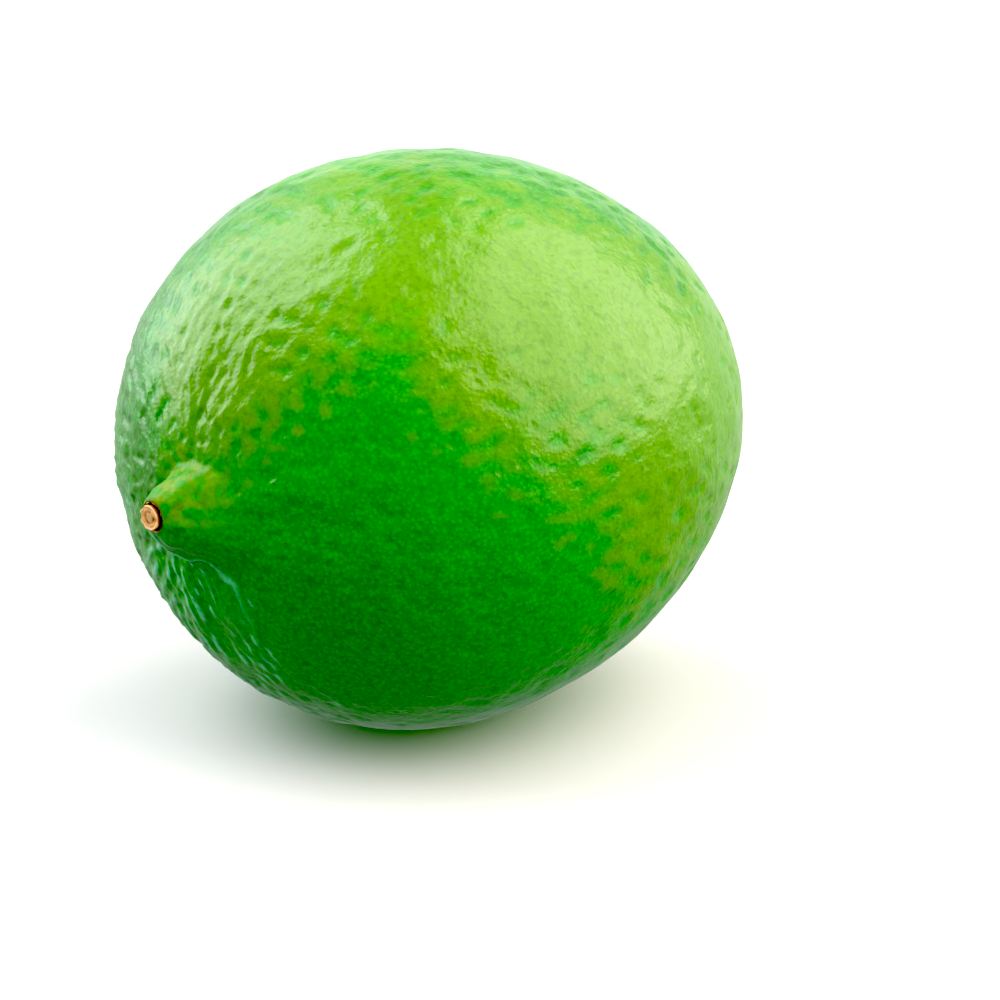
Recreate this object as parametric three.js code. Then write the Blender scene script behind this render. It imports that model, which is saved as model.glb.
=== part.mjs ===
// A whole lime, as picked: one fruit lying on its side, with the woody button that its stalk left.
// The core lies along X with the stem end at -X, and +Z is up. The flat spot it rests on is at the origin.
import * as THREE from 'three';

// Driving dimensions of the fruit, in millimetres and degrees. Turns about the core run from +Y to +Z.
const coreLength = 60.4; // along the core from shoulder to shoulder, without the neck and the nipple
const girth = 53; // diameter of the widest ring
const eggShare = 0.114; // share by which the radius grows towards the stem end and shrinks towards the other
const bluntness = 2.05; // exponent of the profile: 2 is an ellipse, more is blunter
const flatDepth = 0.8; // how deep the fruit's own weight has flattened the underside
const flatBlend = 0.15; // height over which the flat spot runs out into the round underside

// The neck is a low dome that the stalk grew from. It is steep on one side, with a furrow at its foot, and on
// the other it flows out into the shoulder. Its foot is an oval round the core, furthest out at the given turn.
const neck = { height: 3.5, foot: 4.4, spread: 0.5, turn: 198, flow: 1.4, footBlend: 0.02 };
const neckLean = { angle: 4.2, turn: 189, reach: 14 }; // how far it is bent, which way, and over what length
const furrow = { depth: 0.45, width: 0.8, turn: 60 }; // the turn of its deepest side
const seat = { radius: 1.3, depth: 0.3, taper: 0.02 }; // round seat of the button in the top of the neck

// The nipple at the blossom end, with a ring furrow and the pit that the style left.
const nipple = { height: 1.7, radius: 3.6, edge: 4, furrowDepth: 0.25, furrowRadius: 7.5, furrowWidth: 2 };
const stylePit = { depth: 0.5, radius: 0.9 };

// The woody button stands a little proud of its seat, and its face is hollow inside a raised rim.
const button = { radius: 1.15, thickness: 0.9, rimWidth: 0.3, hollow: 0.25, bevel: 0.12 };

// Relief of the rind: an even undulation all over, and ribs that run out over the shoulders from both tips.
const pebbles = { wavelength: 5.2, height: 0.09, waves: 48, seed: 7 };
const ribs = { counts: [9, 13, 19], steepness: 0.018, peakRadius: 8, reach: 9, seed: 23 };
const blossomRibs = 0.5; // share of their height at the blossom end
const calm = { inner: 1.6, outer: 3.6 }; // distances from the core over which the relief comes in

// Fineness of the mesh.
const segmentsAround = 80;
const buttonSegments = 32;
const finestStep = 0.55; // length of a facet on the neck and the nipple
const coarsestStep = 2.3; // and on the belly

const { degToRad, lerp, smoothstep } = THREE.MathUtils;
const halfLength = coreLength / 2;
const halfGirth = girth / 2 / (1 + eggShare ** 2 / 2);
const widestAt = -eggShare * halfLength; // where the widest ring stands on the core
const floorLevel = -(girth / 2 - flatDepth); // height of the flat spot, measured from the core
const seatLevel = -halfLength - neck.height + seat.depth; // place of the seat's floor on the core

const bell = (distance, width) => Math.exp(-((distance / width) ** 2)); // 1 at no distance, running out
const dome = (r, radius, edge) => 1 / (1 + (r / radius) ** edge); // 1 on the core, one half at the radius

const sumOf = (numbers) => numbers.reduce((total, number) => total + number, 0);

// The minimal standard random generator, so that every run gives the same relief.
function seededRandom(seed) {
  let state = seed;
  return () => {
    state = (state * 16807) % 2147483647;
    return state / 2147483647;
  };
}

// Plane waves of one length in random directions. Their sum is an even undulation with no pattern to it.
function planeWaves({ wavelength, waves, seed }) {
  const random = seededRandom(seed);
  return Array.from({ length: waves }, () => {
    const height = 2 * random() - 1;
    const turn = 2 * Math.PI * random();
    const phase = 2 * Math.PI * random();
    const flat = Math.sqrt(1 - height ** 2);
    const direction = new THREE.Vector3(flat * Math.cos(turn), flat * Math.sin(turn), height);
    return { wave: direction.multiplyScalar((2 * Math.PI) / wavelength), phase };
  });
}

const pebbleWaves = planeWaves(pebbles);
const ribRandom = seededRandom(ribs.seed);
const ribPhases = ribs.counts.map(() => 2 * Math.PI * ribRandom());

// Undulation of the rind at a point: 0 on average, and about 1 where it is strong.
function undulation(point) {
  const heights = pebbleWaves.map(({ wave, phase }) => Math.cos(wave.dot(point) + phase));
  return sumOf(heights) * Math.sqrt(2 / pebbleWaves.length);
}

// Height of the ribs at a distance from the core and a turn about it. Each is as high as it is wide.
function ribHeight(r, turn) {
  const shares = ribs.counts.map((count, i) => Math.cos(count * turn + ribPhases[i]) / count);
  return sumOf(shares) * 2 * Math.PI * r * ribs.steepness * bell(r - ribs.peakRadius, ribs.reach);
}

// How far the neck stands out of the egg shape, less the furrow round it.
function stemRise(r, turn) {
  const towards = Math.cos(turn - degToRad(neck.turn));
  const foot = neck.foot / (1 - neck.spread * towards);
  const fall = 1 - (Math.max(0, r - seat.radius) / (foot - seat.radius)) ** 2;
  const rounded = (fall + Math.sqrt(fall ** 2 + neck.footBlend)) / 2;
  const rise = neck.height * rounded ** (1 + neck.flow * smoothstep(towards, 0.3, 0.9));
  const depth = furrow.depth * (0.5 + 0.5 * Math.cos(turn - degToRad(furrow.turn)));
  return rise - depth * bell(r - foot, furrow.width);
}

// How far the nipple does, with its furrow and the pit of the style.
function blossomRise(r) {
  const ring = nipple.furrowDepth * bell(r - nipple.furrowRadius, nipple.furrowWidth);
  const pit = stylePit.depth * bell(r, stylePit.radius);
  return nipple.height * dome(r, nipple.radius, nipple.edge) - ring - pit;
}

// The egg profile, as a distance from the core and a place along it. The angle runs from 0 at the stem to pi.
function eggPoint(angle) {
  const u = -Math.cos(angle);
  const r = halfGirth * Math.sqrt(Math.max(0, 1 - Math.abs(u) ** bluntness)) * (1 - eggShare * u);
  return new THREE.Vector2(r, halfLength * u);
}

// Rings from the seat to the blossom end, close together at both tips and wide apart on the belly.
function eggRings() {
  const rings = [new THREE.Vector2(0, -halfLength), new THREE.Vector2(seat.radius, -halfLength)];
  let angle = Math.asin((seat.radius + seat.taper) / (halfGirth * (1 + eggShare)));
  while (angle < Math.PI - finestStep / halfLength) {
    const ring = eggPoint(angle);
    rings.push(ring);
    const coarseness = smoothstep(ring.x, 1.2 * neck.foot, 3 * neck.foot);
    angle += lerp(finestStep, coarsestStep, coarseness) / halfLength;
  }
  rings.push(new THREE.Vector2(0, halfLength));
  return rings;
}

// The neck is bent by a turn about a point on the core, from nothing there to the full angle at the tip.
const bendCentre = new THREE.Vector3(neckLean.reach - halfLength, 0, 0);
const bendTurn = degToRad(neckLean.turn);
const bendAxis = new THREE.Vector3(0, Math.sin(bendTurn), -Math.cos(bendTurn));

function bend(point) {
  const share = 1 - smoothstep(point.x, -halfLength, bendCentre.x);
  const angle = degToRad(neckLean.angle) * share;
  return point.sub(bendCentre).applyAxisAngle(bendAxis, angle).add(bendCentre);
}

// Heights under the floor level come up to it, and heights just above it run into it smoothly.
function settle(z) {
  const nearness = Math.max(0, flatBlend - Math.abs(z - floorLevel)) / flatBlend;
  return Math.max(z, floorLevel) + (nearness ** 2 * flatBlend) / 4;
}

// The rind as one closed skin, with its core along X and the middle of the core at its own origin.
function fruitGeometry() {
  const geometry = new THREE.LatheGeometry(eggRings(), segmentsAround);
  geometry.rotateZ(-Math.PI / 2);
  const { position, normal } = geometry.attributes;
  const point = new THREE.Vector3();
  const outward = new THREE.Vector3();
  for (let i = 0; i < position.count; i++) {
    point.fromBufferAttribute(position, i);
    outward.fromBufferAttribute(normal, i);
    const r = Math.hypot(point.y, point.z);
    const turn = Math.atan2(point.z, point.y);
    const atStem = point.x < 0;
    const ribShare = atStem ? 1 : blossomRibs;
    const relief = pebbles.height * undulation(point) + ribShare * ribHeight(r, turn);
    point.addScaledVector(outward, relief * smoothstep(r, calm.inner, calm.outer));
    if (!atStem) point.x += blossomRise(r);
    else if (r > seat.radius + seat.taper / 2) point.x -= stemRise(r, turn);
    else point.x = seatLevel;
    bend(point);
    position.setXYZ(i, point.x, point.y, settle(point.z));
  }
  return geometry;
}

// The button with its base on its own origin, facing -X.
function buttonGeometry() {
  const { radius, thickness, rimWidth, hollow, bevel } = button;
  const profile = [
    [0, 0],
    [radius, 0],
    [radius, thickness - bevel],
    [radius - bevel, thickness],
    [radius - rimWidth, thickness],
    [radius - 2 * rimWidth, thickness - 0.8 * hollow],
    [radius / 5, thickness - hollow],
    [0, thickness - hollow],
  ];
  const points = profile.map(([r, along]) => new THREE.Vector2(r, along));
  return new THREE.LatheGeometry(points, buttonSegments).rotateZ(Math.PI / 2);
}

const rindFinish = new THREE.MeshStandardMaterial({ color: 0x2f9a12, roughness: 0.38, metalness: 0 });
const woodFinish = new THREE.MeshStandardMaterial({ color: 0xc98f58, roughness: 0.85, metalness: 0 });

const fruit = new THREE.Mesh(fruitGeometry(), rindFinish);
fruit.name = 'fruit';

const stemButton = new THREE.Mesh(buttonGeometry(), woodFinish);
stemButton.name = 'stem_button';
stemButton.position.copy(bend(new THREE.Vector3(seatLevel, 0, 0)));
stemButton.quaternion.setFromAxisAngle(bendAxis, degToRad(neckLean.angle));

const lime = new THREE.Group();
lime.add(fruit, stemButton);
lime.position.set(-widestAt, 0, -floorLevel);

export default lime;
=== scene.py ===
import math
import bpy
import numpy as np
from mathutils import Matrix, Vector


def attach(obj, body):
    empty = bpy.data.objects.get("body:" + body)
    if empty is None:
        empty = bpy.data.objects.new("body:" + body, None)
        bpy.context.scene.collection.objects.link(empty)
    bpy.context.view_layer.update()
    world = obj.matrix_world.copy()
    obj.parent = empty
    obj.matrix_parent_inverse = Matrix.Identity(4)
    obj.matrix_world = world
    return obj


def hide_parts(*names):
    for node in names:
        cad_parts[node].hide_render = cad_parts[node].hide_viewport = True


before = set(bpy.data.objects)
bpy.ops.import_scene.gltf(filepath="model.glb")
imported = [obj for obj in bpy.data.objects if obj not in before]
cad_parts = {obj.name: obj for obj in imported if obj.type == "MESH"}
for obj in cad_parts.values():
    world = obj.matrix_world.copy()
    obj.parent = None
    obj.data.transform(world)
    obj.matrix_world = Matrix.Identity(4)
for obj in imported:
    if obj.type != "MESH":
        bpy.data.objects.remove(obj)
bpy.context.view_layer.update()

mm = 0.001
farAway = 1e9  # millimetres, where nothing of a form is left


def linearColour(hexCode):  # "#rrggbb" in sRGB to a linear RGBA colour
    channels = [int(hexCode[i:i + 2], 16) / 255 for i in (1, 3, 5)]
    linear = [c / 12.92 if c <= 0.04045 else ((c + 0.055) / 1.055) ** 2.4 for c in channels]
    return (*linear, 1.0)


def addNode(tree, kind, inputs=None, **settings):  # each input is a value, a hex colour or a socket to link
    node = tree.nodes.new("ShaderNode" + kind)
    for name, value in settings.items():
        setattr(node, name, value)
    for name, value in (inputs or {}).items():
        if isinstance(value, bpy.types.NodeSocket):
            tree.links.new(value, node.inputs[name])
        else:
            node.inputs[name].default_value = linearColour(value) if isinstance(value, str) else value
    return node


def newMaterial(name, roughness):
    material = bpy.data.materials.new(name)
    material.use_nodes = True
    shader = material.node_tree.nodes["Principled BSDF"]
    shader.inputs["Roughness"].default_value = roughness
    return material, material.node_tree, shader


def seededRandom(seed):  # the minimal standard generator, so that every run gives the same relief
    state = seed
    while True:
        state = state * 16807 % 2147483647
        yield state / 2147483647


def smoothStep(x, low, high):  # 0 below the low end, 1 above the high one
    share = np.clip((x - low) / (high - low), 0, 1)
    return share * share * (3 - 2 * share)


def bell(distance, width):  # 1 at no distance, running out
    return np.exp(-(distance / width) ** 2)


def dome(r, radius, edge):  # 1 on the core, one half at the radius
    return 1 / (1 + (r / radius) ** edge)


# Millimetres and degrees. The core lies along X with the stem end at -X, and turns run from +Y to +Z.
# A pair of distances or cosines is where something starts and where it is whole.
fruit = {
    "coreLength": 60.4, "girth": 53, "eggShare": 0.114, "bluntness": 2.05,
    "flatDepth": 0.8, "flatBlend": 0.15,
    "neck": {"height": 3.5, "foot": 4.4, "spread": 0.5, "turn": 198, "flow": 1.4, "flowSide": (0.3, 0.9),
             "footBlend": 0.05},
    "furrow": {"depth": 0.22, "width": 0.9, "turn": 60},
    "neckLean": {"angle": 4.2, "turn": 189, "reach": 14},
    "seat": {"radius": 1.3, "depth": 0.3, "taper": 0.02},
    "nipple": {"height": 1.65, "radius": 3.6, "edge": 4, "furrowDepth": 0.25, "furrowRadius": 7.5,
               "furrowWidth": 2},
    "stylePit": {"depth": 0.5, "radius": 0.9},
    "ribs": {"counts": [9, 13, 19], "steepness": 0.01, "peakRadius": 8, "reach": 9, "seed": 23},
    "blossomRibs": 0.5,  # share of their height at the blossom end
    "pebbles": {"wavelength": 5.2, "height": 0.04, "waves": 48, "seed": 7},
    "knobs": {"wavelength": 1.9, "height": 0.15, "near": (1.4, 2), "reach": 5, "waves": 48, "seed": 19},
    "pits": {"wavelength": 1.8, "stretch": 0.55, "depth": 0.135, "over": (0.4, 2.0), "waves": 64, "seed": 11},
    "wrinkles": {"spacing": 1.6, "uneven": 0.3, "length": 3.4, "height": 0.034,
                 "nearest": 2.5, "furthest": 21, "reach": 1, "widening": 5, "waves": 140, "seed": 5,
                 "turn": 15, "side": (-0.6, 0.1), "leastShare": 0.12},
    # on this side the wrinkles stand higher, and their ridges carry a painted highlight in pale teal
    "wrinkledSide": {"turn": 285, "side": (0.4, 0.9), "ragged": 0.13, "wavelength": 6, "waves": 24, "seed": 27,
                 "extraHeight": 0.7, "glintOnRidges": (0.7, 2.0), "paleness": 0.95},
    # the crease runs through these points, each a distance from the core and a turn
    "fold": {"path": ((1.7, 287), (3.2, 272), (4.2, 254), (4.9, 238), (5.6, 232), (9.5, 235), (12.3, 241),
                      (15, 249)),
             "height": 0.16, "width": 0.3, "hollow": 0.08, "hollowWidth": 0.9,
             "wander": 0.22, "wanderFrom": (3, 6), "wavelength": 2.4, "waves": 32, "seed": 23,
             # the fold carries a painted highlight, a pale teal glint this wide that fades away from the
             # button
             "glintWidth": 0.24, "fade": 0.65, "fadeOver": (4.5, 13)},
    "inset": 0.12,
    "calm": (1.5, 3.0),
    "segmentsAround": 350, "finestStep": 0.17, "coarsestStep": 0.44,
}

halfLength = fruit["coreLength"] / 2
halfGirth = fruit["girth"] / 2 / (1 + fruit["eggShare"] ** 2 / 2)
widestAt = -fruit["eggShare"] * halfLength
floorLevel = -(fruit["girth"] / 2 - fruit["flatDepth"])
seatLevel = -halfLength - fruit["neck"]["height"] + fruit["seat"]["depth"]
coreMiddle = np.array([-widestAt, 0, -floorLevel])
bendCentre = np.array([fruit["neckLean"]["reach"] - halfLength, 0, 0])
bendTurn = math.radians(fruit["neckLean"]["turn"])
bendAxis = np.array([0, math.sin(bendTurn), -math.cos(bendTurn)])


def eggPoint(angle):  # the plain outline of the fruit: the distance from the core and the place along it
    u = -math.cos(angle)
    blunt = math.sqrt(max(0, 1 - abs(u) ** fruit["bluntness"]))
    return halfGirth * blunt * (1 - fruit["eggShare"] * u), halfLength * u


def eggRings():  # close together on the neck, further apart on the belly
    seat = fruit["seat"]
    rings = [(0, -halfLength), (seat["radius"], -halfLength)]
    angle = math.asin((seat["radius"] + seat["taper"]) / (halfGirth * (1 + fruit["eggShare"])))
    while angle < math.pi - fruit["finestStep"] / halfLength:
        rings.append(eggPoint(angle))
        coarseness = float(smoothStep(rings[-1][0], 1.2 * fruit["neck"]["foot"], 3 * fruit["neck"]["foot"]))
        step = fruit["finestStep"] + coarseness * (fruit["coarsestStep"] - fruit["finestStep"])
        angle += step / halfLength
    rings.append((0, halfLength))
    return rings


def undulation(points, field):  # an even field of bumps and hollows, about -1 to 1
    waves = field["waves"]
    draw = seededRandom(field["seed"])
    total = np.zeros(len(points))
    for _ in range(waves):
        height = 2 * next(draw) - 1
        turn = 2 * math.pi * next(draw)
        phase = 2 * math.pi * next(draw)
        flat = math.sqrt(1 - height ** 2)
        direction = np.array([flat * math.cos(turn), flat * math.sin(turn), height])
        total += np.cos(points @ direction * 2 * math.pi / field["wavelength"] + phase)
    return total * math.sqrt(2 / waves)


def ribHeight(r, turn):  # broad folds that gather towards the ends
    ribs = fruit["ribs"]
    draw = seededRandom(ribs["seed"])
    shares = sum(np.cos(count * turn + 2 * math.pi * next(draw)) / count for count in ribs["counts"])
    return shares * 2 * math.pi * r * ribs["steepness"] * bell(r - ribs["peakRadius"], ribs["reach"])


def wrinkleHeight(r, turn, along, wrinkledSideShare):  # short wrinkles that point to the neck, evenly spaced
    wrinkles = fruit["wrinkles"]
    draw = seededRandom(wrinkles["seed"])
    total = np.zeros(len(r))
    for _ in range(wrinkles["waves"]):
        middle = wrinkles["nearest"] + (wrinkles["furthest"] - wrinkles["nearest"]) * next(draw)
        closeness = 1 + wrinkles["uneven"] * (2 * next(draw) - 1)
        count = round(2 * math.pi * middle / wrinkles["spacing"] * closeness)
        slant = (2 * next(draw) - 1) * 2 * math.pi / wrinkles["length"]
        phase = 2 * math.pi * next(draw)
        reach = wrinkles["reach"] + middle / wrinkles["widening"]
        total += np.cos(count * turn + slant * (r + along) + phase) * bell(r - middle, reach)
    side = np.maximum(smoothStep(np.cos(turn - math.radians(wrinkles["turn"])), *wrinkles["side"]), wrinkledSideShare)
    share = wrinkles["leastShare"] + (1 - wrinkles["leastShare"]) * side
    return wrinkles["height"] * share * total * math.sqrt(6 / wrinkles["waves"])


def foldDistance(r, turn):  # one fine crease from under the button, round the neck's foot and along the fruit
    spots = np.stack([r * np.cos(turn), r * np.sin(turn)], axis=1)
    far, pathTurn = np.array(fruit["fold"]["path"]).T
    path = np.stack([far * np.cos(np.radians(pathTurn)), far * np.sin(np.radians(pathTurn))], axis=1)
    nearest = np.full(len(r), farAway)
    for start, end in zip(path, path[1:]):
        share = np.clip((spots - start) @ (end - start) / ((end - start) @ (end - start)), 0, 1)
        nearest = np.minimum(nearest, np.linalg.norm(spots - start - share[:, None] * (end - start), axis=1))
    return nearest


def stemRise(r, turn):  # the neck is steep on one side, and flows out into the shoulder on the other
    neck, furrow, seat = fruit["neck"], fruit["furrow"], fruit["seat"]["radius"]
    towards = np.cos(turn - math.radians(neck["turn"]))
    foot = neck["foot"] / (1 - neck["spread"] * towards)
    fall = 1 - (np.maximum(0, r - seat) / (foot - seat)) ** 2
    rounded = (fall + np.sqrt(fall ** 2 + neck["footBlend"])) / 2
    rise = neck["height"] * rounded ** (1 + neck["flow"] * smoothStep(towards, *neck["flowSide"]))
    depth = furrow["depth"] * (0.5 + 0.5 * np.cos(turn - math.radians(furrow["turn"])))
    return rise - depth * bell(r - foot, furrow["width"])


def blossomRise(r):
    nipple, pit = fruit["nipple"], fruit["stylePit"]
    rise = nipple["height"] * dome(r, nipple["radius"], nipple["edge"])
    rise -= nipple["furrowDepth"] * bell(r - nipple["furrowRadius"], nipple["furrowWidth"])
    return rise - pit["depth"] * bell(r, pit["radius"])


def bend(points):  # the neck leans to one side
    share = 1 - smoothStep(points[:, 0], -halfLength, bendCentre[0])
    angle = math.radians(fruit["neckLean"]["angle"]) * share
    arm = points - bendCentre
    turned = arm * np.cos(angle)[:, None] + np.cross(bendAxis, arm) * np.sin(angle)[:, None]
    turned += bendAxis * ((arm @ bendAxis) * (1 - np.cos(angle)))[:, None]
    return turned + bendCentre


def settle(z):  # the underside comes down to the floor level and runs into it smoothly
    nearness = np.maximum(0, fruit["flatBlend"] - np.abs(z - floorLevel)) / fruit["flatBlend"]
    return np.maximum(z, floorLevel) + nearness ** 2 * fruit["flatBlend"] / 4


def readPoints(piece, name):
    flatList = np.zeros(len(piece.data.vertices) * 3, np.float32)
    piece.data.vertices.foreach_get(name, flatList)
    return flatList.reshape(-1, 3).astype(float)


def storeShare(piece, name, values):  # a number at each vertex that the material reads
    attribute = piece.data.attributes.new(name, "FLOAT", "POINT")
    attribute.data.foreach_set("value", np.clip(values, 0, 1).astype(np.float32))


def spinRind():
    rings = eggRings()
    bpy.ops.object.select_all(action="DESELECT")
    bpy.ops.mesh.primitive_circle_add(vertices=2 * len(rings) - 2, radius=halfLength * mm)
    rind = bpy.context.object
    rind.name = "limeRind"
    # half of the circle goes, and the other half takes the egg's outline
    bpy.ops.object.mode_set(mode="EDIT")
    bpy.ops.mesh.select_all(action="DESELECT")
    bpy.ops.object.mode_set(mode="OBJECT")
    for vertex in rind.data.vertices:
        vertex.select = vertex.index >= len(rings)
    bpy.ops.object.mode_set(mode="EDIT")
    bpy.ops.mesh.delete(type="VERT")
    bpy.ops.object.mode_set(mode="OBJECT")
    for vertex, (r, along) in zip(rind.data.vertices, rings):
        vertex.co = (along * mm, r * mm, 0)
    lathe = rind.modifiers.new("lathe", "SCREW")
    lathe.axis = "X"
    lathe.steps = lathe.render_steps = fruit["segmentsAround"]
    bpy.ops.object.modifier_apply(modifier="lathe")
    bpy.ops.object.mode_set(mode="EDIT")
    bpy.ops.mesh.select_all(action="SELECT")
    bpy.ops.mesh.remove_doubles(threshold=0.002 * mm)
    bpy.ops.mesh.normals_make_consistent(inside=False)
    bpy.ops.mesh.faces_shade_smooth()
    bpy.ops.object.mode_set(mode="OBJECT")
    return rind


def shapeRind(rind):
    points = readPoints(rind, "co") / mm
    outward = readPoints(rind, "normal")
    r = np.hypot(points[:, 1], points[:, 2])
    turn = np.arctan2(points[:, 2], points[:, 1])
    along = points[:, 0].copy()
    atStem = along < 0
    sideWrinkles, fold, knobs = fruit["wrinkledSide"], fruit["fold"], fruit["knobs"]
    pebbles, pits = fruit["pebbles"], fruit["pits"]

    # relief that stands out of the egg
    wrinkledSideEdge = np.cos(turn - math.radians(sideWrinkles["turn"])) + sideWrinkles["ragged"] * undulation(points, sideWrinkles)
    wrinkledSideShare = atStem * smoothStep(wrinkledSideEdge, *sideWrinkles["side"])
    wrinkled = wrinkleHeight(r, turn, along, wrinkledSideShare) * (1 + sideWrinkles["extraHeight"] * wrinkledSideShare)
    relief = np.where(atStem, 1, fruit["blossomRibs"]) * (ribHeight(r, turn) + wrinkled) - fruit["inset"]
    wander = fold["wander"] * undulation(points, fold) * smoothStep(r, *fold["wanderFrom"])
    toFold = np.where(atStem, foldDistance(r + wander, turn + wander / np.maximum(r, 1)), farAway)
    relief += fold["height"] * bell(toFold, fold["width"])
    relief -= fold["hollow"] * bell(toFold, fold["hollowWidth"])
    relief += pebbles["height"] * undulation(points, pebbles)
    pitted = undulation(points * np.array([pits["stretch"], 1, 1]), pits)
    relief -= pits["depth"] * smoothStep(pitted, *pits["over"])
    points += outward * (relief * smoothStep(r, *fruit["calm"]))[:, None]

    # the forms of both ends, the lean of the neck and the flat spot
    inSeat = atStem & (r < fruit["seat"]["radius"] + fruit["seat"]["taper"] / 2)
    points[:, 0] += np.where(atStem, -stemRise(r, turn), blossomRise(r))
    points[inSeat, 0] = seatLevel
    knobbed = knobs["height"] * undulation(points, knobs)
    knobbed *= atStem * smoothStep(r, *knobs["near"]) * bell(r, knobs["reach"])
    points[:, 1:] *= (1 + knobbed / np.maximum(r, 1))[:, None]
    points = bend(points)
    points[:, 2] = settle(points[:, 2])
    rind.data.vertices.foreach_set("co", ((points + coreMiddle) * mm).astype(np.float32).ravel())

    # painted highlight: pale teal glints along the fold and on the wrinkle ridges of the wrinkled side
    ridgeGlint = smoothStep(wrinkled / fruit["wrinkles"]["height"], *sideWrinkles["glintOnRidges"])
    foldGlint = bell(toFold, fold["glintWidth"]) * (1 - fold["fade"] * smoothStep(r, *fold["fadeOver"]))
    storeShare(rind, "glintShare", np.maximum(foldGlint, sideWrinkles["paleness"] * ridgeGlint * wrinkledSideShare))
    placeRindColours(rind, points, r, turn, along, pitted)
    rind.data.update()


# Where the rind changes colour, in millimetres and degrees. The ripe side turns on its way from the stem end.
# Its yellow-green is partly riper skin and partly painted light, lighter where the lamps fall over the top.
# Each spot is its place along the core, its turn, its size and how much riper and more painted light it is.
rindColourPlaces = {
    "turn": 98, "twist": 70, "twistStart": -22, "twistLength": 34, "spread": 33, "widening": 27,
    "edge": (0.4, 1.6), "fromStem": (2, 11),
    "broadPatches": {"share": 0.14, "wavelength": 17, "waves": 24, "seed": 3},
    "smallPatches": {"share": 0.1, "wavelength": 6, "waves": 40, "seed": 9},
    "pitShare": 0.26,
    "spots": ((-13, 151, 4.5, 0.6), (-18.5, 137, 3.5, -0.5), (-7, 169, 4, -0.35), (-24, 112, 4, 0.4)),
    # painted shade: the rind is darker green on the side that the softboxes light less
    "paintedShadeSide": (0.5, 1.1), "paintedShadeUneven": 0.5,
    "yellowNeck": {"turn": 112, "side": (-0.1, 0.9), "radius": 5.6, "edge": 5},
    # painted shade: the rind in the seat round the button is darkened to brown
    "seatShade": {"radius": 1.42, "edge": 16},
    "styleScar": {"radius": 1.2, "edge": 6},
}


def placeRindColours(rind, points, r, turn, along, pitted):
    atStem = along < 0
    neck, seat, scar = rindColourPlaces["yellowNeck"], rindColourPlaces["seatShade"], rindColourPlaces["styleScar"]
    yellowSide = smoothStep(np.cos(turn - math.radians(neck["turn"])), *neck["side"])
    storeShare(rind, "neckShare", np.where(atStem, dome(r, neck["radius"], neck["edge"]) * yellowSide, 0))
    # painted shade: the rind in the seat round the button is darkened to brown
    storeShare(rind, "seatShadeShare", np.where(atStem, dome(r, seat["radius"], seat["edge"]), 0))
    storeShare(rind, "styleShare", np.where(atStem, 0, dome(r, scar["radius"], scar["edge"])))
    onward = np.clip((along - rindColourPlaces["twistStart"]) / rindColourPlaces["twistLength"], 0, 1)
    ripeAndLitTurn = np.radians(rindColourPlaces["turn"] + rindColourPlaces["twist"] * onward)
    uneven = rindColourPlaces["pitShare"] * pitted
    for patches in (rindColourPlaces["broadPatches"], rindColourPlaces["smallPatches"]):
        uneven += patches["share"] * undulation(points, patches)
    for spotAlong, spotTurn, size, amount in rindColourPlaces["spots"]:
        offTurn = np.arccos(np.clip(np.cos(turn - math.radians(spotTurn)), -1, 1)) * r
        uneven -= amount * bell(np.hypot(along - spotAlong, offTurn), size)
    spread = np.radians(rindColourPlaces["spread"] + rindColourPlaces["widening"] * onward ** 2)
    away = np.arccos(np.clip(np.cos(turn - ripeAndLitTurn), -1, 1)) / spread
    # the ripe patch: partly riper skin and partly painted light over the lit top
    ripeAndLit = (1 - smoothStep(away + uneven, *rindColourPlaces["edge"])) * smoothStep(r, *rindColourPlaces["fromStem"])
    storeShare(rind, "ripeAndLitShare", ripeAndLit)
    # painted shade: darker green on the side away from the light
    paintedShadeSide = np.sin(ripeAndLitTurn - turn) + rindColourPlaces["paintedShadeUneven"] * uneven
    storeShare(rind, "paintedShadeShare", smoothStep(paintedShadeSide, *rindColourPlaces["paintedShadeSide"]))


# Sizes in millimetres. The oil glands of the rind show as pale dots, and each is a low bump under the wax.
rindLook = {
    # the deep green is painted shade, on the side that the softboxes light less
    # the ripe greens are partly riper skin and partly painted light over the lit top
    "green": "#1a8b05", "paleGreen": "#389009", "ripeAndLitGreen": "#5c9209", "paintedShadeGreen": "#2f7604",
    "patchSize": 12, "patchEdge": (0.45, 0.75), "patchShare": 0.35,
    "neckGreen": "#74920a", "neckEdge": (0.4, 0.6), "neckLeast": 0.1, "neckMost": 1.0,
    # the pale teal is a painted highlight: glints along the fold and the wrinkle ridges
    # the seat's brown is painted shade in the seat round the button
    "seatShadeBrown": "#7d5a2a", "scarBrown": "#7d6b38", "glintTeal": "#7ccaa6", "glintShare": 0.8,
    "glandSpacing": 0.46, "glandRadius": (0.66, 0.17), "glandHeight": 0.012,
    "glandGreen": "#38af10", "ripeAndLitGland": "#66980c", "glandShare": 0.4,
    "unevenSize": 1.3, "unevenHeight": 0.08,
    "mottleSize": 0.55, "mottleEdge": (0.48, 0.72), "mottleHeight": 0.05,
    "mottleGreen": "#0c6404", "mottleShare": 0.35,
    "pitSpacing": 1.7, "pitRadius": (0.3, 0.08), "pitShare": 0.6, "pitDepth": 0.05,
    "skinRoughness": 0.3, "neckRoughness": 0.5, "glossTint": "#fff8ec",
    "waxRoughness": 0.2, "waxShare": 0.35,
}


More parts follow.
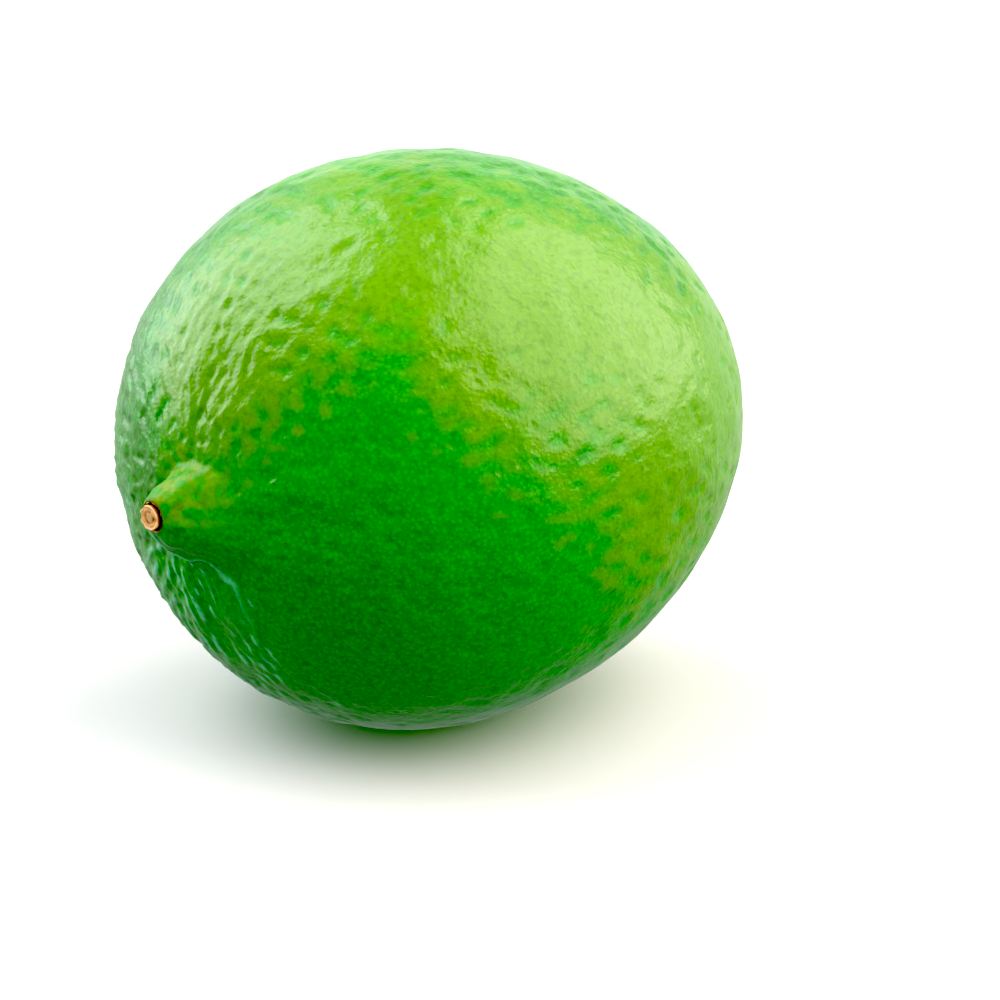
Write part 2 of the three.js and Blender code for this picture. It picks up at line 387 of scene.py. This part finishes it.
def rindMaterial():  # lime rind under thin wax: broad soft gloss over green skin, dotted with oil glands
    look = rindLook
    material, tree, shader = newMaterial("waxedLimeRind", look["skinRoughness"])
    place = addNode(tree, "TexCoord").outputs["Object"]
    shareNames = ("ripeAndLitShare", "paintedShadeShare", "neckShare", "glintShare", "styleShare", "seatShadeShare")
    shares = [addNode(tree, "Attribute", attribute_name=name).outputs["Fac"] for name in shareNames]
    ripeAndLit, paintedShade, atNeck, foldGlint, scar, seat = shares

    patches = addNode(tree, "TexNoise", {"Vector": place, "Scale": 1 / (look["patchSize"] * mm),
                                         "Detail": 3.0})
    pale = addNode(tree, "MapRange", {"Value": patches.outputs["Fac"], "From Min": look["patchEdge"][0],
                                      "From Max": look["patchEdge"][1], "To Max": look["patchShare"]})
    uneven = addNode(tree, "TexNoise", {"Vector": place, "Scale": 1 / (look["unevenSize"] * mm),
                                        "Detail": 0.0})
    yellow = addNode(tree, "MapRange", {"Value": uneven.outputs["Fac"], "From Min": look["neckEdge"][0],
                                        "From Max": look["neckEdge"][1], "To Min": look["neckLeast"],
                                        "To Max": look["neckMost"]})
    neck = addNode(tree, "Math", {0: atNeck, 1: yellow.outputs[0]}, operation="MULTIPLY")
    glinted = addNode(tree, "Math", {0: foldGlint, 1: look["glintShare"]}, operation="MULTIPLY")
    glands = addNode(tree, "TexVoronoi", {"Vector": place, "Scale": 1 / (look["glandSpacing"] * mm)})
    dots = addNode(tree, "MapRange", {"Value": glands.outputs["Distance"], "From Min": look["glandRadius"][0],
                                      "From Max": look["glandRadius"][1]}, interpolation_type="SMOOTHSTEP")
    gland = addNode(tree, "Mix", {0: ripeAndLit, 6: look["glandGreen"], 7: look["ripeAndLitGland"]}, data_type="RGBA")
    dotted = addNode(tree, "Math", {0: dots.outputs[0], 1: look["glandShare"]}, operation="MULTIPLY")
    mottle = addNode(tree, "TexNoise", {"Vector": place, "Scale": 1 / (look["mottleSize"] * mm),
                                        "Detail": 2.0})
    dark = addNode(tree, "MapRange", {"Value": mottle.outputs["Fac"], "From Min": look["mottleEdge"][0],
                                      "From Max": look["mottleEdge"][1], "To Max": look["mottleShare"]})

    # each colour lies over the ones before it
    # the deep green is painted shade, on the side that the softboxes light less
    skin = look["green"]
    # the ripe green is partly riper skin and partly painted light over the lit top
    layers = ((pale.outputs[0], look["paleGreen"]), (ripeAndLit, look["ripeAndLitGreen"]), (paintedShade, look["paintedShadeGreen"]),
              # the pale teal over the fold and the ridges is a painted highlight
              (neck.outputs[0], look["neckGreen"]), (glinted.outputs[0], look["glintTeal"]),
              (dotted.outputs[0], gland.outputs[2]), (dark.outputs[0], look["mottleGreen"]),
              # the seat's brown is painted shade round the button
              (scar, look["scarBrown"]), (seat, look["seatShadeBrown"]))
    for share, colour in layers:
        skin = addNode(tree, "Mix", {0: share, 6: skin, 7: colour}, data_type="RGBA").outputs[2]
    tree.links.new(skin, shader.inputs["Base Color"])

    pits = addNode(tree, "TexVoronoi", {"Vector": place, "Scale": 1 / (look["pitSpacing"] * mm)})
    hollow = addNode(tree, "MapRange", {"Value": pits.outputs["Distance"], "From Min": look["pitRadius"][0],
                                        "From Max": look["pitRadius"][1]})
    drawn = addNode(tree, "SeparateColor", {"Color": pits.outputs["Color"]})
    chosen = addNode(tree, "Math", {0: drawn.outputs["Red"], 1: look["pitShare"]}, operation="LESS_THAN")
    depth = addNode(tree, "Math", {0: hollow.outputs[0], 1: chosen.outputs[0]}, operation="MULTIPLY")
    height = addNode(tree, "Math", {0: dots.outputs[0], 1: look["glandHeight"]}, operation="MULTIPLY")
    reliefs = ((uneven, look["unevenHeight"]), (mottle, look["mottleHeight"]), (depth, -look["pitDepth"]))
    for relief, amount in reliefs:
        height = addNode(tree, "Math", {0: relief.outputs[0], 1: amount, 2: height.outputs[0]},
                         operation="MULTIPLY_ADD")
    bump = addNode(tree, "Bump", {"Strength": 1.0, "Distance": mm, "Height": height.outputs[0]})
    tree.links.new(bump.outputs["Normal"], shader.inputs["Normal"])
    tree.links.new(bump.outputs["Normal"], shader.inputs["Coat Normal"])

    # the skin of the neck is dull, and the wax doesn't reach it
    dull = addNode(tree, "MapRange", {"Value": atNeck, "To Min": look["skinRoughness"],
                                      "To Max": look["neckRoughness"]})
    tree.links.new(dull.outputs[0], shader.inputs["Roughness"])
    waxed = addNode(tree, "MapRange", {"Value": atNeck, "To Min": look["waxShare"], "To Max": 0.0})
    tree.links.new(waxed.outputs[0], shader.inputs["Coat Weight"])
    shader.inputs["IOR"].default_value = 1.6
    shader.inputs["Specular Tint"].default_value = linearColour(look["glossTint"])
    shader.inputs["Coat IOR"].default_value = 1.45
    shader.inputs["Coat Roughness"].default_value = look["waxRoughness"]
    return material


rind = spinRind()
shapeRind(rind)
rind.data.materials.append(rindMaterial())
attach(rind, "root")
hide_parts("fruit")
print("rind:", len(rind.data.polygons), "faces")

# Millimetres. The button is the dry end of the stalk: a disc of wood with a pale rim, a growth ring and pith.
# Each inset of its face is a width and a rise.
stalk = {
    "radius": 1.17, "thickness": 0.7, "sides": 64,
    "insets": ((0.05, 0.08), (0.09, 0.03), (0.07, -0.11), (0.2, 0.0), (0.05, 0.07), (0.07, -0.1),
               (0.17, -0.03), (0.08, 0.06)),
    "unevenHeight": 0.03, "unevenness": {"wavelength": 0.8, "waves": 40, "seed": 31},
    "topEdge": (0.4, 0.65), "sideEdge": (0.2, 1),
    # the button's face turns darker over this depth below its rim
    "rimEdge": (0.86, 0.96), "pithEdge": (0.38, 0.5), "darkBelowRim": (0.1, 0.22),
    "calyxRadius": 1.29, "calyxThickness": 0.1,
    "calyxUnevenness": {"mean": 0.7, "swing": 0.5, "least": 0.2, "most": 1.2,
                        "wavelength": 0.7, "waves": 24, "seed": 12},
    "calyxShade": {"mean": 0.4, "swing": 0.3, "paleness": 0.6, "cracks": 0.8,
                   "wavelength": 0.5, "waves": 24, "seed": 3},
}
stalkLook = {
    "wood": "#e2a878", "rimCream": "#e9bf8c", "darkBrown": "#7d5630", "pithTan": "#cda878",
    "grainSize": 0.14, "grainEdge": (0.52, 0.7), "grainShare": 0.5, "grainHeight": 0.03, "roughness": 0.75,
}


def placeInSeat(piece):  # from upright on the origin to facing out of the seat, with its place in its mesh
    lean = Matrix.Rotation(math.radians(fruit["neckLean"]["angle"]), 4, Vector(bendAxis))
    seat = bend(np.array([[seatLevel, 0.0, 0.0]]))[0] + coreMiddle
    piece.matrix_world = Matrix.Translation(Vector(seat * mm)) @ lean @ Matrix.Rotation(-math.pi / 2, 4, "Y")
    bpy.ops.object.select_all(action="DESELECT")
    piece.select_set(True)
    bpy.context.view_layer.objects.active = piece
    bpy.ops.object.transform_apply(location=True, rotation=True, scale=True)


def roundOff(piece, levels):
    smooth = piece.modifiers.new("roundOff", "SUBSURF")
    smooth.levels = smooth.render_levels = levels
    bpy.ops.object.modifier_apply(modifier="roundOff")
    bpy.ops.object.mode_set(mode="EDIT")
    bpy.ops.mesh.select_all(action="SELECT")
    bpy.ops.mesh.faces_shade_smooth()
    bpy.ops.object.mode_set(mode="OBJECT")


def cutStalkButton():
    bpy.ops.object.select_all(action="DESELECT")
    half = stalk["thickness"] / 2 * mm
    bpy.ops.mesh.primitive_cylinder_add(vertices=stalk["sides"], radius=stalk["radius"] * mm, depth=2 * half,
                                        location=(0, 0, half))
    button = bpy.context.object
    button.name = "stalkButton"
    bpy.ops.object.transform_apply(location=True)
    bpy.ops.object.mode_set(mode="EDIT")
    bpy.ops.mesh.select_mode(type="FACE")
    bpy.ops.mesh.select_all(action="DESELECT")
    bpy.ops.object.mode_set(mode="OBJECT")
    for face in button.data.polygons:
        face.select = face.normal.z > 0.9
    bpy.ops.object.mode_set(mode="EDIT")
    for width, rise in stalk["insets"]:
        bpy.ops.mesh.inset(thickness=width * mm, depth=rise * mm)
    bpy.ops.mesh.poke()
    bpy.ops.object.mode_set(mode="OBJECT")
    roundOff(button, 2)
    points = readPoints(button, "co") / mm
    r = np.hypot(points[:, 0], points[:, 1])
    onTop = smoothStep(points[:, 2], *stalk["topEdge"])
    uneven = stalk["unevenHeight"] * undulation(points, stalk["unevenness"])
    points[:, 2] += uneven * onTop
    points[:, :2] *= (1 + uneven * smoothStep(r, *stalk["sideEdge"]))[:, None]
    button.data.vertices.foreach_set("co", (points * mm).astype(np.float32).ravel())
    rimLevel = stalk["thickness"] + sum(rise for _, rise in stalk["insets"][:2])
    storeShare(button, "rimShare", smoothStep(r, *stalk["rimEdge"]) * onTop)
    storeShare(button, "pithShare", 1 - smoothStep(r, *stalk["pithEdge"]))
    # darker the further the face sinks below the rim
    storeShare(button, "darkShare", smoothStep(rimLevel - points[:, 2], *stalk["darkBelowRim"]))
    placeInSeat(button)
    return button


def rollCalyxRing():  # the torn rest of the calyx round the button: a thin ring that thickens and thins
    bpy.ops.object.select_all(action="DESELECT")
    bpy.ops.mesh.primitive_torus_add(major_radius=stalk["calyxRadius"] * mm, major_segments=96,
                                     minor_radius=stalk["calyxThickness"] * mm, minor_segments=10,
                                     location=(0, 0, fruit["seat"]["depth"] * mm))
    ring = bpy.context.object
    ring.name = "calyxRing"
    uneven, shading = stalk["calyxUnevenness"], stalk["calyxShade"]
    bpy.ops.object.transform_apply(location=True)
    points = readPoints(ring, "co") / mm
    turn = np.arctan2(points[:, 1], points[:, 0])
    middle = np.stack([np.cos(turn), np.sin(turn), 0 * turn], axis=1) * stalk["calyxRadius"]
    middle[:, 2] = fruit["seat"]["depth"]
    thickness = uneven["mean"] + uneven["swing"] * undulation(middle, uneven)
    thickness = np.clip(thickness, uneven["least"], uneven["most"])
    points = middle + (points - middle) * thickness[:, None]
    ring.data.vertices.foreach_set("co", (points * mm).astype(np.float32).ravel())
    roundOff(ring, 1)
    shade = shading["mean"] + shading["swing"] * undulation(readPoints(ring, "co") / mm, shading)
    storeShare(ring, "rimShare", shading["paleness"] * shade)
    storeShare(ring, "darkShare", shading["cracks"] - shade)
    placeInSeat(ring)
    return ring


def stalkMaterial():  # dried stalk wood: matt, tan and fibrous, paler on the rim, darker where its face sinks below the rim and in patches on the calyx ring
    look = stalkLook
    material, tree, shader = newMaterial("driedStalkWood", look["roughness"])
    place = addNode(tree, "TexCoord").outputs["Object"]
    shareNames = ("rimShare", "pithShare", "darkShare")
    rim, pith, darkness = (addNode(tree, "Attribute", attribute_name=name).outputs["Fac"] for name in shareNames)
    grain = addNode(tree, "TexNoise", {"Vector": place, "Scale": 1 / (look["grainSize"] * mm), "Detail": 3.0})
    dark = addNode(tree, "MapRange", {"Value": grain.outputs["Fac"], "From Min": look["grainEdge"][0],
                                      "From Max": look["grainEdge"][1], "To Max": look["grainShare"]})
    wood = look["wood"]
    layers = ((rim, look["rimCream"]), (pith, look["pithTan"]), (darkness, look["darkBrown"]),
              (dark.outputs[0], look["darkBrown"]))
    for share, colour in layers:
        wood = addNode(tree, "Mix", {0: share, 6: wood, 7: colour}, data_type="RGBA").outputs[2]
    tree.links.new(wood, shader.inputs["Base Color"])
    bump = addNode(tree, "Bump", {"Strength": 1.0, "Distance": look["grainHeight"] * mm,
                                  "Height": grain.outputs["Fac"]})
    tree.links.new(bump.outputs["Normal"], shader.inputs["Normal"])
    return material


stalkButton = cutStalkButton()
calyxRing = rollCalyxRing()
driedWood = stalkMaterial()
for piece in (stalkButton, calyxRing):
    piece.data.materials.append(driedWood)
    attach(piece, "root")
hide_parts("stem_button")
print("stalk: button with", len(stalkButton.data.polygons), "faces, and the calyx ring")

# Metres. A direction is an azimuth and an elevation from the fruit, where 0 degrees is the -Y side.
studio = {
    "floorRadius": 1.5, "floorWhite": "#e4dfde", "backdropDistance": 9, "backdropGlow": 1.3,
    "roomLight": 0.72, "roomTint": "#fafeff", "nearFloorLight": 0.5, "farFloorLight": 1.0,
    "nearHeading": -0.6, "farHeading": -0.1, "horizonBlend": 0.04, "blackLevel": 0.1,
    "softboxes": {
        "rightSoftbox": {"towards": (54, 37), "size": (4.2, 3.8), "radiance": 9.9, "colour": "#fffaf0"},
        "leftSoftbox": {"towards": (203, 34), "size": (2.6, 3.6), "radiance": 10.4, "colour": "#f0f6ff"},
        "backSoftbox": {"towards": (142, 20), "size": (2.6, 2.4), "radiance": 1.2, "colour": "#ffffff"},
        "topSoftbox": {"towards": (-100, 75), "size": (3.6, 3.0), "radiance": 2.3, "colour": "#ffffff"},
        "frontSoftbox": {"towards": (-48, 14), "size": (6.0, 3.0), "radiance": 0.6, "colour": "#ffffff"},
    },
    "softboxDistance": 3,
    "softEdge": ((0.62, 0.28), (0.84, 0.3), (1.04, 0.26), (1.28, 0.16)),  # size and share of each panel
    # the camera's distance and aim are in millimetres, and so is the width of its frame at the fruit
    "camera": {"towards": (-39.4, 20), "distance": 450, "right": 5.23, "down": 6.35, "frameWidth": 91.9},
}


def directionOf(azimuth, elevation):
    a, e = math.radians(azimuth), math.radians(elevation)
    return Vector((math.sin(a) * math.cos(e), -math.cos(a) * math.cos(e), math.sin(e)))


def layFloor():  # pale matt board, which takes a soft shadow and has no shine
    bpy.ops.object.select_all(action="DESELECT")
    bpy.ops.mesh.primitive_circle_add(vertices=96, radius=studio["floorRadius"], fill_type="NGON")
    floor = bpy.context.object
    floor.name = "paleFloor"
    material, _, shader = newMaterial("mattPaintedBoard", 0.9)
    shader.inputs["Base Color"].default_value = linearColour(studio["floorWhite"])
    shader.inputs["Specular IOR Level"].default_value = 0.1
    floor.data.materials.append(material)
    floor.visible_diffuse = False  # the room's light stands in for its bounce
    floor.visible_glossy = False


def raiseBackdrop():  # an evenly glowing white tent that only the camera sees
    bpy.ops.object.select_all(action="DESELECT")
    bpy.ops.mesh.primitive_uv_sphere_add(segments=48, ring_count=24, radius=studio["backdropDistance"])
    backdrop = bpy.context.object
    backdrop.name = "whiteBackdrop"
    material, _, shader = newMaterial("backlitWhiteAcrylic", 0.9)
    shader.inputs["Base Color"].default_value = (0, 0, 0, 1)
    shader.inputs["Emission Color"].default_value = (1, 1, 1, 1)
    shader.inputs["Emission Strength"].default_value = studio["backdropGlow"]
    backdrop.data.materials.append(material)
    backdrop.visible_diffuse = False
    backdrop.visible_glossy = False
    backdrop.visible_shadow = False


def hangSoftbox(name, box):  # panels of growing size in one place, so that the light fades towards its edge
    back = directionOf(*box["towards"])
    for growth, share in studio["softEdge"]:
        width, height = box["size"][0] * growth, box["size"][1] * growth
        light = bpy.data.lights.new(name, "AREA")
        light.shape = "RECTANGLE"
        light.size, light.size_y = width, height
        light.energy = box["radiance"] * share * width * height * math.pi
        light.color = linearColour(box["colour"])[:3]
        lamp = bpy.data.objects.new(name, light)
        bpy.context.scene.collection.objects.link(lamp)
        lamp.location = Vector(coreMiddle * mm) + back * studio["softboxDistance"]
        lamp.rotation_euler = back.to_track_quat("Z", "Y").to_euler()
        lamp.visible_camera = False


def setCamera(view):
    camera = bpy.data.cameras.new("productCamera")
    camera.sensor_width = 36
    camera.lens = camera.sensor_width * view["distance"] / view["frameWidth"]
    stand = bpy.data.objects.new("productCamera", camera)
    bpy.context.scene.collection.objects.link(stand)
    back = directionOf(*view["towards"])
    turn = back.to_track_quat("Z", "Y")
    right, up = turn @ Vector((1, 0, 0)), turn @ Vector((0, 1, 0))
    aim = Vector(coreMiddle * mm) + (right * view["right"] - up * view["down"]) * mm
    stand.location = aim + back * view["distance"] * mm
    stand.rotation_euler = turn.to_euler()
    bpy.context.scene.camera = stand


def setRoom():
    world = bpy.data.worlds.new("studioRoom")
    bpy.context.scene.world = world
    world.use_nodes = True
    tree = world.node_tree
    heading = addNode(tree, "SeparateXYZ", {0: addNode(tree, "TexCoord").outputs["Generated"]}).outputs["Z"]
    # dim underneath, bright where the floor runs out to the horizon, and even above
    floor = addNode(tree, "MapRange", {"Value": heading, "From Min": studio["nearHeading"],
                                       "From Max": studio["farHeading"],
                                       "To Min": studio["nearFloorLight"], "To Max": studio["farFloorLight"]})
    room = addNode(tree, "MapRange", {"Value": heading, "From Min": 0.0, "From Max": studio["horizonBlend"],
                                      "To Min": 0.0, "To Max": studio["roomLight"] - studio["farFloorLight"]})
    light = addNode(tree, "Math", {0: floor.outputs[0], 1: room.outputs[0]}, operation="ADD")
    tree.nodes["Background"].inputs["Color"].default_value = linearColour(studio["roomTint"])
    tree.links.new(light.outputs[0], tree.nodes["Background"].inputs["Strength"])
    display = bpy.context.scene.view_settings
    display.view_transform = "Standard"
    display.use_curve_mapping = True  # for deep, saturated shade
    display.curve_mapping.black_level = (studio["blackLevel"],) * 3


layFloor()
raiseBackdrop()
for name, box in studio["softboxes"].items():
    hangSoftbox(name, box)
setRoom()
setCamera(studio["camera"])
print("studio: floor, backdrop,", len(studio["softboxes"]), "softboxes and camera")
